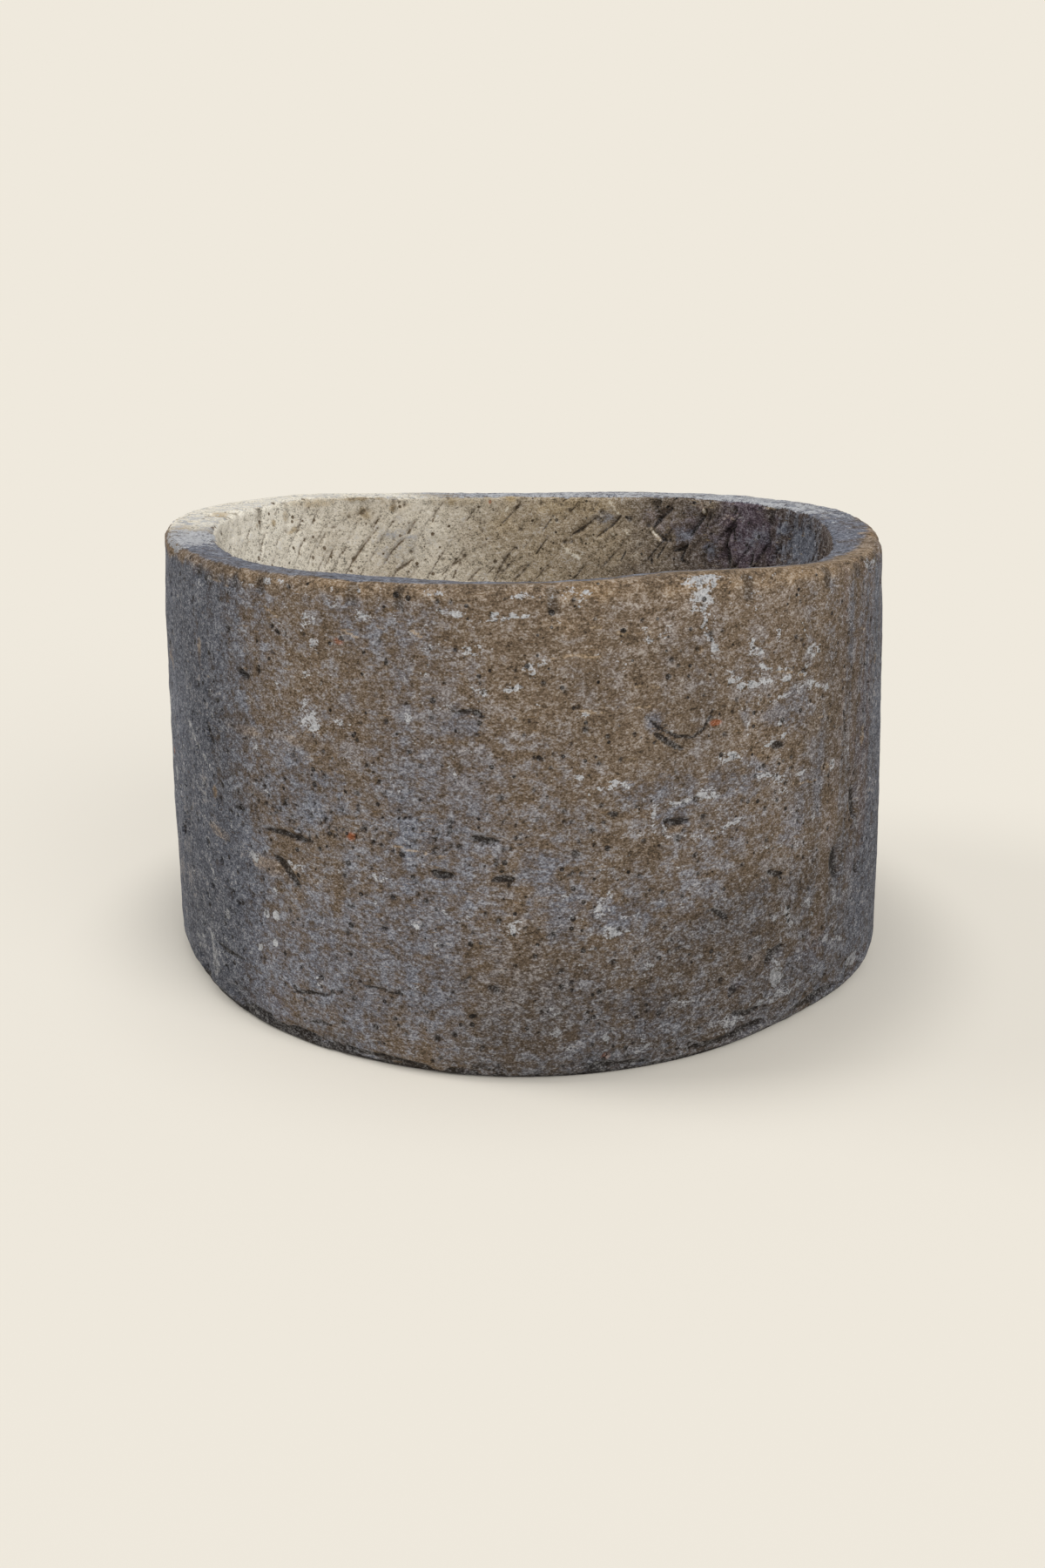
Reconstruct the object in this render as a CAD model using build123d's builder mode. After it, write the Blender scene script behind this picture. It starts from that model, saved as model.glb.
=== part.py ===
from build123d import *
import math
import os

# Round planter hewn from one block of limestone.
# Origin: centre of the foot, on the ground. +Z is up and -Y is the front.
# All sizes are in millimetres.

# The stone was cut by eye, so it isn't quite round and its rim isn't level.
# Each list runs round the stone from the front towards the right, one value
# for every sixteenth of a turn.
FOOT_RADIUS = [286, 283, 280, 293, 297, 297, 296, 294, 294, 295, 298, 299, 297, 288, 285, 285]
RIM_RADIUS = [281, 276, 279, 277, 280, 291, 290, 288, 286, 288, 292, 295, 290, 278, 278, 279]
RIM_WIDTH = [35, 36, 32, 36, 41, 40, 38, 38, 38, 38, 38, 43, 43, 35, 35, 38]
RIM_HEIGHT = [343, 346, 342, 338, 342, 344, 344, 341, 338, 340, 345, 347, 346, 341, 340, 341]
RIM_SLOPE = [4, 4, 4, 4, 0, 1, 1, 1, 0, 1, 0, 1, 1, 4, 3, 2]

# Middle of the wall, off the drain hole so that the widest points are centred on it
WALL_MIDDLE = (0.6, -3.7)

# Sections drawn round the stone, enough for a smooth face between them
SECTIONS = 64

# Outer wall: a swollen taper whose foot rolls under before it meets the ground
WALL_SWELL = 3
FOOT_ROUNDING = 22
FOOT_SINK = 4

# Arrises of the rim, worn round
OUTER_ARRIS = 7
INNER_ARRIS = 4

# Planting cavity, narrower at its floor
FLOOR_THICKNESS = 66
CAVITY_TAPER = 24
CAVITY_CORNER = 60

# Drain hole through the middle of the floor
DRAIN_DIAMETER = 34
PILOT_RADIUS = 12


def blend(values, turn):
    """Value of a list round the stone after a share of a turn, blended smoothly."""
    place = turn * len(values)
    station = math.floor(place)
    share = place - station
    before, near, far, after = (values[(station + step) % len(values)] for step in (-1, 0, 1, 2))
    slope_near = (far - before) / 2
    slope_far = (after - near) / 2
    bend = 3 * (far - near) - 2 * slope_near - slope_far
    twist = 2 * (near - far) + slope_near + slope_far
    return near + share * (slope_near + share * (bend + share * twist))


def wall_section(turn):
    """Upright section through one wall, from the drain hole out to the face."""
    foot = (blend(FOOT_RADIUS, turn), -FOOT_SINK)
    rim = (blend(RIM_RADIUS, turn), blend(RIM_HEIGHT, turn))
    belly = ((foot[0] + rim[0]) / 2 + WALL_SWELL, (foot[1] + rim[1]) / 2)
    mouth = (rim[0] - blend(RIM_WIDTH, turn), rim[1] - blend(RIM_SLOPE, turn))
    corner = (mouth[0] - CAVITY_TAPER, FLOOR_THICKNESS)
    facing = Plane.XZ.rotated((0, 0, 360 * turn - 90))
    upright = Plane((*WALL_MIDDLE, 0), facing.x_dir, facing.z_dir)
    with BuildSketch(upright) as section:
        with BuildLine():
            Polyline(
                foot,
                (PILOT_RADIUS, -FOOT_SINK),
                (PILOT_RADIUS, FLOOR_THICKNESS),
                corner,
                mouth,
                rim,
            )
            ThreePointArc(rim, belly, foot)
        make_face()
        roundings = (
            (foot, FOOT_ROUNDING),
            (corner, CAVITY_CORNER),
            (mouth, INNER_ARRIS),
            (rim, OUTER_ARRIS),
        )
        for place, radius in roundings:
            fillet(section.vertices().sort_by_distance(Vector(*place))[0], radius)
    return section.sketch


with BuildPart() as stone_planter:
    # Hewn body: the wall's section carried once round the stone
    sections = [wall_section(step / SECTIONS) for step in range(SECTIONS)]
    loft(sections + sections[:1])

    # Flat foot, where the ground cuts off the rounding
    with BuildSketch(Plane.XY):
        Circle(max(FOOT_RADIUS))
    extrude(amount=-FOOT_SINK, mode=Mode.SUBTRACT)

    # Drain hole
    with BuildSketch(Plane.XY):
        Circle(DRAIN_DIAMETER / 2)
    extrude(amount=FLOOR_THICKNESS, mode=Mode.SUBTRACT)

stone_planter.part.label = "stone_planter"

os.makedirs("parts", exist_ok=True)
export_step(stone_planter.part, "parts/stone_planter.step")
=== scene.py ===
import math

import bpy
import numpy as np
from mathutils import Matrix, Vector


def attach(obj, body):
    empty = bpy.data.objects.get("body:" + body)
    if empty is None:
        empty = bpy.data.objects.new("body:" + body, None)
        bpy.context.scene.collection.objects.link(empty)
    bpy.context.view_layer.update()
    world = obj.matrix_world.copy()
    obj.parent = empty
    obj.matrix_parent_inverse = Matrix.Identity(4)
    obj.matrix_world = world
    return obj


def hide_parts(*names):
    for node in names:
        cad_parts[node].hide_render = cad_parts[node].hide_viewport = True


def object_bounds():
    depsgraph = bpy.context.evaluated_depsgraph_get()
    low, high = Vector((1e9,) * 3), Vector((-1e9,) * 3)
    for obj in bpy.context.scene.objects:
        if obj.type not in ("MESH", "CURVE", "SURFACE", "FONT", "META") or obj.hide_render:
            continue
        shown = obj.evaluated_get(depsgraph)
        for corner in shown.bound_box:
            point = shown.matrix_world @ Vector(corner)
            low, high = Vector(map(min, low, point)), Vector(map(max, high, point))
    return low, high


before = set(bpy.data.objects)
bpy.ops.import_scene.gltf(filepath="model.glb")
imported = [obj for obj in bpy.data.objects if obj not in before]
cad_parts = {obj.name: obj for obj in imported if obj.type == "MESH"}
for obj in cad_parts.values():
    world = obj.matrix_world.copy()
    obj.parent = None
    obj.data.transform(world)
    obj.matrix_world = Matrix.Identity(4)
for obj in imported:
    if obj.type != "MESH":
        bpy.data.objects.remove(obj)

cad_low, cad_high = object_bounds()

# Round planter hewn from one block of limestone.
# Lengths are in metres unless a name ends in _MM. Angles round the stone are in
# degrees from the front, -Y, towards the right, +X.
MM = 0.001
rng = np.random.default_rng(7)

# Mesh of the stone
VOXEL = 1.7 * MM

# Layers of each rough noise
OCTAVES = 3

# How many marks of each kind are spread at random
HIDDEN_SCARS = 44
HIDDEN_STAINS = 150
OUTER_PITS = 1500
BAND_PITS = 130
LIME_SPECKS = 110
CAVITY_PITS = 700

# Azimuths between which the sides and the back lie, counted on past 180
HIDDEN_FROM = 74
HIDDEN_TO = 286

# Mean radii at which the walls are unrolled to plan strokes and patches on them
OUTER_RADIUS_MM = 285
INNER_RADIUS_MM = 243
RIM_RADIUS_MM = 265

# Camera
IMAGE_HEIGHT_PX = 1800
SENSOR_MM = 36
FOCAL_PX = 1614
CAMERA_PITCH = 17.9
CAMERA_PLACE = (-0.0033, -1.1435, 0.4916)

# Middle of the wall, which its angles and radii are measured from
WALL_MIDDLE_MM = (0.6, -3.7)

# Pale backdrop, as sRGB out of 255
BACKDROP = (239, 233, 221)


def linear(colour):
    """An sRGB colour out of 255 as Blender's linear one."""
    parts = [c / 255 for c in colour]
    return tuple(c / 12.92 if c <= 0.04045 else ((c + 0.055) / 1.055) ** 2.4 for c in parts) + (1.0,)


def smooth(low, high, value):
    """0 below low, 1 above high, with an eased way between."""
    share = np.clip((value - low) / (high - low), 0, 1)
    return share * share * (3 - 2 * share)


def lattice(cell, seed):
    """A fixed random number from 0 to 1 for each whole-numbered cell."""
    x, y, z = (cell[:, axis].astype(np.uint32) for axis in range(3))
    value = x * np.uint32(374761393) + y * np.uint32(668265263) + z * np.uint32(2246822519)
    value = value + np.uint32(seed) * np.uint32(3266489917)
    value = (value ^ (value >> np.uint32(13))) * np.uint32(1274126177)
    value = (value ^ (value >> np.uint32(15))) * np.uint32(2654435761)
    return (value ^ (value >> np.uint32(16))) / 4294967295.0


def noise(points_mm, size_mm, seed):
    """Smooth noise from -1 to 1 whose bumps are about size_mm across."""
    place = points_mm / size_mm
    cell = np.floor(place).astype(np.int64)
    share = place - cell
    share = share * share * share * (share * (share * 6 - 15) + 10)
    total = np.zeros(len(points_mm))
    for corner in range(8):
        step = np.array([corner & 1, corner >> 1 & 1, corner >> 2 & 1])
        weight = np.where(step, share, 1 - share).prod(axis=1)
        total += weight * lattice(cell + step, seed)
    return total * 2 - 1


def rough(points_mm, size_mm, seed):
    """Noise with finer and fainter noise on it, each half the size of the last."""
    total = np.zeros(len(points_mm))
    reach = 0
    for octave in range(OCTAVES):
        gain = 0.5**octave
        total += gain * noise(points_mm, size_mm * gain, seed + octave)
        reach += gain
    return total / reach


class Wall:
    """The vertices of one side of the stone, unrolled to (along, up) in mm."""

    def __init__(self, member, along, up):
        order = np.argsort(along[member])
        self.index = np.flatnonzero(member)[order]
        self.along = along[self.index]
        self.up = up[self.index]

    def near(self, low, high, margin):
        """Positions in this wall's lists of what lies in a box with a margin."""
        start = np.searchsorted(self.along, low[0] - margin)
        stop = np.searchsorted(self.along, high[0] + margin)
        up = self.up[start:stop]
        inside = (up > low[1] - margin) & (up < high[1] + margin)
        return start + np.flatnonzero(inside)


def stroke_share(wall, path, width):
    """Indices near a path of (along, up) points, with 1 on the path falling to 0 at width."""
    path = np.asarray(path, float)
    spots = wall.near(path.min(axis=0), path.max(axis=0), width)
    here = np.column_stack((wall.along[spots], wall.up[spots]))
    best = np.zeros(len(spots))
    runs = np.linalg.norm(np.diff(path, axis=0), axis=1)
    ends = np.concatenate(([0], np.cumsum(runs))) / max(runs.sum(), 1e-6)
    for start, stop, first, last in zip(path[:-1], path[1:], ends[:-1], ends[1:]):
        run = stop - start
        share = np.clip((here - start) @ run / max(run @ run, 1e-6), 0, 1)
        away = np.linalg.norm(here - start - share[:, None] * run, axis=1)
        place = first + (last - first) * share
        taper = np.sqrt(np.clip(4 * place * (1 - place), 0, 1)) * 0.75 + 0.25
        best = np.maximum(best, np.clip(1 - away / (width * taper), 0, 1))
    return wall.index[spots], best


def patch_share(wall, centre, half_size, ragged, tilt=0.0, core=0.55):
    """Indices in a soft ellipse about centre, with 1 inside falling to 0 past its ragged edge."""
    centre = np.asarray(centre, float)
    reach = max(half_size) * 2
    spots = wall.near(centre, centre, reach)
    index = wall.index[spots]
    turn = math.radians(tilt)
    along = wall.along[spots] - centre[0]
    up = wall.up[spots] - centre[1]
    across = (along * math.cos(turn) + up * math.sin(turn)) / half_size[0]
    height = (up * math.cos(turn) - along * math.sin(turn)) / half_size[1]
    distance = np.hypot(across, height) + ragged * grain[index]
    return index, smooth(1.8 - core, core, distance)


# Dense copy of the CAD solid, to be carved


def dense_copy(node, voxel):
    """The node's mesh as a new object of even small faces."""
    piece = bpy.data.objects.new("hewn_stone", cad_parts[node].data.copy())
    bpy.context.scene.collection.objects.link(piece)
    remesh = piece.modifiers.new("even_faces", "REMESH")
    remesh.mode = "VOXEL"
    remesh.voxel_size = voxel
    settled = piece.evaluated_get(bpy.context.evaluated_depsgraph_get())
    mesh = bpy.data.meshes.new_from_object(settled)
    piece.modifiers.clear()
    piece.data = mesh
    mesh.name = "hewn_stone"
    return piece


stone = dense_copy("stone_planter", VOXEL)
vertex_count = len(stone.data.vertices)
places = np.empty(vertex_count * 3)
stone.data.vertices.foreach_get("co", places)
places = places.reshape(-1, 3) / MM
normals = np.empty(vertex_count * 3)
stone.data.vertices.foreach_get("normal", normals)
normals = normals.reshape(-1, 3)

# Where each vertex is on the stone
rightward = places[:, 0] - WALL_MIDDLE_MM[0]
backward = places[:, 1] - WALL_MIDDLE_MM[1]
azimuth = np.degrees(np.arctan2(rightward, -backward))
radius = np.hypot(rightward, backward)
height = places[:, 2]
outward = (normals[:, 0] * rightward + normals[:, 1] * backward) / np.maximum(radius, 1)
upward = normals[:, 2]

OUTER_MM_PER_DEGREE = math.radians(OUTER_RADIUS_MM)
INNER_MM_PER_DEGREE = math.radians(INNER_RADIUS_MM)
RIM_MM_PER_DEGREE = math.radians(RIM_RADIUS_MM)

on_outer = (outward > 0.25) & (radius > 200)
on_inner = (outward < -0.25) & (radius > 120)
on_rim = (upward > 0.3) & (height > 300)
on_floor = (upward > 0.5) & (height < 150)
outer_wall = Wall(on_outer, azimuth * OUTER_MM_PER_DEGREE, height)
inner_wall = Wall(on_inner, azimuth % 360 * INNER_MM_PER_DEGREE, height)
rim_top = Wall(on_rim, azimuth * RIM_MM_PER_DEGREE, radius)

grain = rough(places, 9, 11)
flake = rough(places, 5, 13)
blotch = rough(places, 38, 21)

# What is worked out for each vertex: how deep it is carved, in mm, and its stains
sunk = np.zeros(vertex_count)
STAINS = ("patina", "lime", "ochre", "rust", "plum", "painted_shade_and_stain", "hollow", "inside", "pale")
stain = {name: np.zeros(vertex_count) for name in STAINS}

# Highest strength that a vertex keeps of a stain
STAIN_TOP = 1.6
# Height up to which the foot isn't carved
FLAT_FOOT_MM = 1.5


def on(wall, azimuth_height):
    """Points given as (azimuth, height in mm) in a wall's own mm."""
    scale = OUTER_MM_PER_DEGREE if wall is outer_wall else INNER_MM_PER_DEGREE
    return [(a * scale, h) for a, h in azimuth_height]


def hidden_azimuth():
    """A random azimuth on the sides or the back."""
    side = rng.uniform(HIDDEN_FROM, HIDDEN_TO)
    return side - 360 if side > 180 else side


def add_stain(name, values, index=slice(None)):
    """Raise a stain to these values wherever it is weaker."""
    stain[name][index] = np.maximum(stain[name][index], values)


def carve(wall, path, width, depth, dirt=1.0, broken=0.5, clean=0.2):
    """A groove along a path of (azimuth, height), with dirt in it that is more or less broken."""
    index, share = stroke_share(wall, on(wall, path), width)
    sunk[index] += depth * share * (2 - share)
    kept = 1 - broken * smooth(0.25, -0.45, flake[index])
    add_stain("hollow", dirt * kept * smooth(clean, clean + 0.55, share), index)


def streak(wall, name, path, width, strength, broken=0.3):
    """A stain along a path of (azimuth, height), more or less broken."""
    index, share = stroke_share(wall, on(wall, path), width)
    kept = 1 - broken * smooth(0.2, -0.3, flake[index])
    share = smooth(0.0, 0.5, share + 0.35 * grain[index] * (share > 0)) * kept
    add_stain(name, strength * share, index)


def patch(wall, name, place, half_size, strength, ragged=0.7, tilt=0.0, core=0.2):
    """A stain in a ragged ellipse about an (azimuth, height)."""
    index, share = patch_share(wall, on(wall, [place])[0], half_size, ragged, tilt, core)
    add_stain(name, strength * share, index)


def pit(wall, centre, size, depth, dirt):
    """A round hollow about a point in the wall's own mm."""
    spots = wall.near(centre, centre, size)
    index = wall.index[spots]
    away = np.hypot(wall.along[spots] - centre[0], wall.up[spots] - centre[1]) / size
    share = np.clip(1 - away * away, 0, 1)
    sunk[index] += depth * share
    add_stain("hollow", dirt * share, index)


# Outer wall: hewn swells, then scars, gouges and hollows


def hew_outer_wall():
    """Broad unevenness and pecked grain of the outside."""
    swell = 1.1 * noise(places, 95, 31) + 0.7 * noise(places, 46, 32)
    pecks = 0.45 * rough(places, 17, 33) + 0.3 * grain
    along = places * np.array([1.0, 1.0, 0.12])
    combed = 0.5 * noise(along, 9, 34) * smooth(-45, -62, azimuth)
    sunk[on_outer] += (swell + pecks + combed)[on_outer] + 0.6


# Each scar: (azimuth, height) points, half width and depth in mm
FRONT_SCARS = [
    ([(-38.6, 142), (-36.6, 138), (-35.2, 130), (-34.0, 124)], 5, 3.0),
    ([(-40, 161), (-37, 162), (-34, 160.5), (-31, 160)], 3.2, 2.4),
    ([(-24, 63), (-21, 62), (-17.5, 60)], 1.6, 1.2),
    ([(-7.6, 178), (-6, 176.5), (-4.2, 176)], 3.6, 3.0),
    ([(-13, 152), (-11.4, 150.5), (-10, 151)], 4.2, 2.6),
    ([(-4.8, 149), (-3.4, 150), (-1.8, 150)], 3.6, 2.4),
    ([(-36, 42), (-33, 46), (-29, 48)], 2.0, 1.2),
    ([(-55, 50), (-51, 49), (-47, 50)], 2.4, 1.2),
    ([(-72, 112), (-70, 122), (-69, 138)], 6, 3.4),
    ([(-66.5, 118), (-66, 132), (-65, 142)], 3.6, 1.8),
    ([(-54.6, 221), (-53.4, 212), (-52.6, 208)], 4.0, 2.0),
    ([(-46, 170), (-44.5, 169)], 3.0, 1.8),
    ([(-45.4, 268), (-43.5, 266), (-42.8, 267)], 3.6, 2.2),
    ([(36.4, 132), (38, 129), (40, 126)], 3.4, 2.4),
    ([(26.4, 115), (27.6, 111), (29.2, 105)], 3.0, 2.0),
    ([(37.2, 61), (39, 65), (41.2, 68.5)], 5.6, 5.0),
    ([(52.2, 131), (52.8, 118), (53.8, 105)], 7.5, 3.6),
    ([(57.2, 173), (58.2, 158), (59, 145)], 7.0, 3.2),
    ([(53, 235), (54, 222), (54.6, 209)], 2.2, 1.4),
    ([(18.4, 184), (20, 183), (22, 182)], 4.0, 2.2),
    ([(15.2, 257), (17.4, 248), (20, 241), (22.6, 239), (24.2, 244), (25.6, 257)], 1.9, 1.3),
    ([(16.6, 245), (19.4, 236), (21, 232)], 3.2, 1.0),
    ([(10.8, 193), (12, 191)], 3.2, 2.4),
    ([(36, 224), (38.2, 223)], 4.6, 1.8),
    ([(59.6, 104), (61.4, 99)], 5.6, 2.0),
    ([(60.4, 212), (61.2, 206)], 4.0, 2.2),
    ([(30.4, 52), (31.4, 46)], 5.0, 1.6),
    ([(-33.5, 22), (-31, 25), (-29, 24)], 2.4, 1.4),
    ([(-9.4, 261), (-7.2, 263), (-5.8, 259)], 2.6, 1.3),
    ([(24, 8), (30, 10), (38, 12)], 5.0, 2.4), ([(8, 6), (12, 8), (17, 7)], 4.0, 2.0),
    ([(44, 11), (50, 10), (56, 13)], 5.0, 2.4), ([(-47, 12), (-40, 9), (-32, 7)], 5.0, 2.2),
    ([(-27, 7), (-20, 7), (-14, 5)], 4.0, 1.8), ([(31, 30), (34, 26), (36, 28)], 3.4, 2.0),
]

# Each hollow dot: azimuth, height, radius and depth in mm
FRONT_HOLLOWS = [
    (12.2, 229, 2.6, 2.0), (23, 297, 3.4, 1.8), (27.6, 238, 2.8, 2.0), (35.2, 180, 2.8, 2.0),
    (42.4, 164, 3.0, 2.0), (28.6, 59, 3.4, 2.4), (23.2, 196, 3.4, 2.4), (6.2, 167, 4.4, 1.6),
    (9.6, 199, 2.6, 1.8), (-46.5, 169, 3.0, 1.8), (-19, 252, 3.0, 1.8), (-58.2, 247, 3.6, 1.4),
    (-57, 128, 4.2, 1.4), (-4.4, 71, 4.4, 2.0), (11.6, 88, 3.4, 1.8), (48.2, 197, 3.4, 2.2),
    (34.6, 211, 2.8, 1.6), (14.4, 65, 2.8, 1.8), (40, 296, 3.2, 1.6), (52.4, 29, 3.8, 1.8),
]

# Pale scratches left by a point, each as (azimuth, height) points
FRONT_SCRATCHES = [
    [(-39, 317), (-36.4, 312)], [(-25.6, 309), (-22.4, 304)], [(-15.6, 313), (-13.6, 308)],
    [(10, 312), (13.6, 310), (16.4, 311)], [(12.4, 228), (14.4, 229), (17, 226)],
    [(2.6, 297), (6, 298), (9.2, 297)], [(4.6, 262), (7.4, 262), (10.2, 260)],
    [(34.4, 276), (38.6, 273), (42.4, 268)], [(58.4, 288), (60.6, 286)], [(7.6, 316), (10.6, 314)],
    [(-54, 328), (-50, 327), (-47.4, 326)], [(-19, 168), (-14, 165), (-10, 163)],
    [(14, 276), (17.6, 275)], [(13, 263), (16.4, 262)], [(38.6, 316), (42, 315)],
    [(45.4, 235), (49, 236)], [(40.4, 193), (46.4, 189)],
]


def scar_outer_wall():
    """The scars, hollows and scratches of the front, and scars of the same kind behind."""
    for path, width, depth in FRONT_SCARS:
        carve(outer_wall, path, 1.2 * width, depth, dirt=1.3, broken=0.4)
    for a, h, size, depth in FRONT_HOLLOWS:
        pit(outer_wall, (a * OUTER_MM_PER_DEGREE, h), size, depth, 0.9)
    for path in FRONT_SCRATCHES:
        carve(outer_wall, path, 1.8, 0.5, dirt=0)
        streak(outer_wall, "pale", path, 1.5, 0.8, broken=0.7)
    for _ in range(HIDDEN_SCARS):
        start = np.array([hidden_azimuth(), rng.uniform(30, 325)])
        bend = rng.normal(0, 1, 2)
        reach = np.array([rng.uniform(-3, 3), rng.uniform(-14, 14)])
        path = [start, start + reach * 0.5 + bend, start + reach]
        carve(outer_wall, path, rng.uniform(1.8, 5), rng.uniform(1, 3))


def pit_outer_wall():
    """Small round pits all over, with more in a band across the left of the front."""
    for _ in range(OUTER_PITS):
        a = rng.uniform(-180, 180)
        h = 345 * rng.beta(1.3, 1.5)
        size = rng.uniform(1.2, 2.1) + rng.exponential(0.45)
        pit(outer_wall, (a * OUTER_MM_PER_DEGREE, h), size, size * rng.uniform(0.5, 0.8), 0.95)
    for _ in range(BAND_PITS):
        place = (rng.uniform(-48, 0) * OUTER_MM_PER_DEGREE, rng.normal(176, 11))
        size = rng.uniform(1.2, 2.0)
        pit(outer_wall, place, size, 0.7 * size, 1.0)


# Stains of the outside: azimuth, height, half width and half height in mm, strength
# The patina and plum patches on the left and right sides, about 60 to 75 degrees out, are stain and
# partly painted shade
PATINA = [
    (-70, 250, 60, 120, 1.0), (-66, 110, 60, 90, 0.8), (-47, 250, 34, 90, 0.66),
    (-34, 195, 62, 46, 0.6), (-44, 120, 44, 60, 0.6), (-27, 44, 52, 26, 0.6), (-9, 254, 22, 14, 0.6),
    (-16, 182, 44, 26, 0.5), (4, 128, 24, 30, 0.6), (13, 122, 38, 18, 0.6), (2, 156, 24, 22, 0.6),
    (17, 205, 46, 14, 0.5), (20, 188, 26, 13, 0.58), (39, 246, 44, 22, 0.52), (26, 130, 26, 20, 0.5),
    (34, 118, 22, 14, 0.56), (15, 52, 44, 18, 0.62), (45, 40, 60, 26, 0.6), (55, 118, 22, 40, 0.5),
    (68, 250, 30, 90, 0.72), (68, 90, 34, 90, 0.78), (30, 205, 50, 16, 0.5), (-30, 300, 40, 22, 0.34),
    (-5, 215, 40, 22, 0.36), (17, 252, 10, 8, 0.6), (41, 160, 34, 18, 0.5), (104, 190, 50, 60, 0.66),
    (122, 90, 50, 34, 0.6), (140, 250, 60, 36, 0.6), (158, 150, 60, 26, 0.66), (176, 60, 60, 26, 0.6),
    (-172, 240, 50, 40, 0.6), (-158, 110, 60, 40, 0.7), (-142, 220, 50, 50, 0.66),
    (-126, 120, 50, 50, 0.7), (-108, 240, 50, 70, 0.76), (-98, 110, 50, 80, 0.8),
    (-132, 40, 60, 24, 0.6),
]
LIME = [
    (5, 336, 22, 7, 0.75), (23.4, 341, 20, 5, 0.95), (23.2, 330, 9, 9, 0.8), (31, 269, 16, 4, 0.8),
    (36, 275, 24, 4, 0.5), (44, 285, 12, 7, 0.7), (32, 291, 8, 6, 0.7), (37, 256, 34, 7, 0.55),
    (28.6, 222, 13, 4, 0.8), (24.8, 199, 10, 6, 0.85), (37.6, 190, 9, 8, 0.6), (50.4, 196, 6, 6, 0.8),
    (7.4, 261, 6, 4, 0.85), (3.4, 321, 10, 5, 0.5), (16, 306, 16, 6, 0.5), (0.4, 290, 6, 5, 0.7),
    (-6.8, 303, 12, 7, 0.8), (-2.8, 277, 12, 5, 0.75), (-6, 276, 8, 5, 0.7), (-31, 245, 9, 7, 0.85),
    (-25, 247, 14, 8, 0.4), (-38, 335, 14, 5, 0.8), (-43, 330, 14, 5, 0.5), (-27, 325, 14, 7, 0.55),
    (-22, 319, 10, 4, 0.6), (-12, 336, 9, 4, 0.7), (-1, 336, 9, 4, 0.6), (-31, 311, 7, 7, 0.6),
    (-13, 303, 18, 9, 0.4), (-10.4, 221, 6, 6, 0.6), (-43.4, 137, 8, 4, 0.9), (-34.4, 140, 15, 5, 0.7),
    (-15, 112, 7, 7, 0.75), (-2, 117, 12, 6, 0.7), (-20.4, 143, 6, 4, 0.6), (-11.6, 126, 9, 4, 0.6),
    (-56.8, 32, 8, 20, 0.9), (-62, 38, 24, 9, 0.6), (-31, 55, 9, 8, 0.6), (-16, 66, 8, 5, 0.6),
    (9.6, 126, 3.4, 9, 0.95), (11, 110, 7, 5, 0.9), (14, 101, 14, 9, 0.4), (4.4, 137, 10, 4, 0.6),
    (17.4, 82, 9, 4, 0.7), (20, 72, 9, 5, 0.5), (21, 50, 20, 9, 0.6), (39.6, 50, 9, 13, 0.95),
    (41, 33, 13, 9, 0.7), (31, 24, 22, 10, 0.75), (53, 93, 6, 7, 0.85), (57, 88, 8, 6, 0.6),
    (16, 22, 12, 8, 0.6), (15.6, 30, 6, 14, 0.5), (62, 22, 14, 7, 0.8), (64, 332, 22, 7, 0.85),
    (39, 73, 16, 7, 0.55), (28, 124, 9, 6, 0.6), (35.6, 152, 13, 4, 0.6), (39, 148, 8, 4, 0.6),
    (45, 166, 9, 6, 0.5), (55, 200, 8, 5, 0.6), (34, 232, 20, 9, 0.4), (43, 248, 16, 10, 0.45),
    (27.6, 143, 12, 4, 0.55), (10.6, 31, 4, 4, 0.8), (3, 55, 6, 4, 0.5), (2.4, 88, 9, 4, 0.5),
    (-29.4, 133, 8, 4, 0.4), (-49, 150, 9, 9, 0.45), (-40.4, 61, 12, 5, 0.3), (-66, 318, 20, 7, 0.4),
]
OCHRE = [
    (-53, 173, 4, 5, 1.0), (-40, 135, 30, 7, 0.55), (-57.4, 268, 4, 16, 0.6), (-36, 137, 12, 6, 0.7),
    (23.2, 296.6, 4, 3, 0.9), (20.2, 178, 8, 3, 0.6), (35, 66, 12, 8, 0.45), (45, 230, 12, 9, 0.4),
    (-52, 142, 20, 7, 0.5), (5, 318, 26, 9, 0.45), (8, 302, 24, 8, 0.35), (60.8, 207, 5, 6, 0.9),
    (48, 197, 5, 3, 0.8), (-44, 228, 24, 5, 0.5), (67, 259, 8, 4, 0.7), (-33, 230, 30, 5, 0.4),
]
RUST = [
    (-24.6, 170.5, 4.5, 4, 1.0), (26, 247, 5, 2.4, 1.0), (-26, 301, 6, 3, 0.5), (11, 17, 5, 5, 0.5),
]
PLUM = [
    (-66, 80, 40, 40, 0.8), (-57, 128, 12, 8, 0.8), (-48, 90, 50, 50, 0.5), (-45, 30, 50, 24, 0.6),
    (-52, 318, 30, 24, 0.5), (-60, 290, 20, 60, 0.45), (62, 220, 28, 90, 0.7), (64, 120, 30, 90, 0.7),
    (49, 55, 34, 20, 0.55), (31, 49, 8, 10, 0.7), (-35, 80, 50, 30, 0.35), (55, 265, 26, 40, 0.4),
    (41, 160, 26, 20, 0.35), (-26, 120, 34, 16, 0.3),
]
OUTER_PATCHES = {"patina": PATINA, "lime": LIME, "ochre": OCHRE, "rust": RUST, "plum": PLUM}

# Dots of lime: azimuth, height and radius in mm
WHITE_DOTS = [(-41, 95.4, 3.6), (-39, 97, 3.9), (-39.4, 75.2, 2.9), (-42.8, 67.4, 3.2)]

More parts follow.
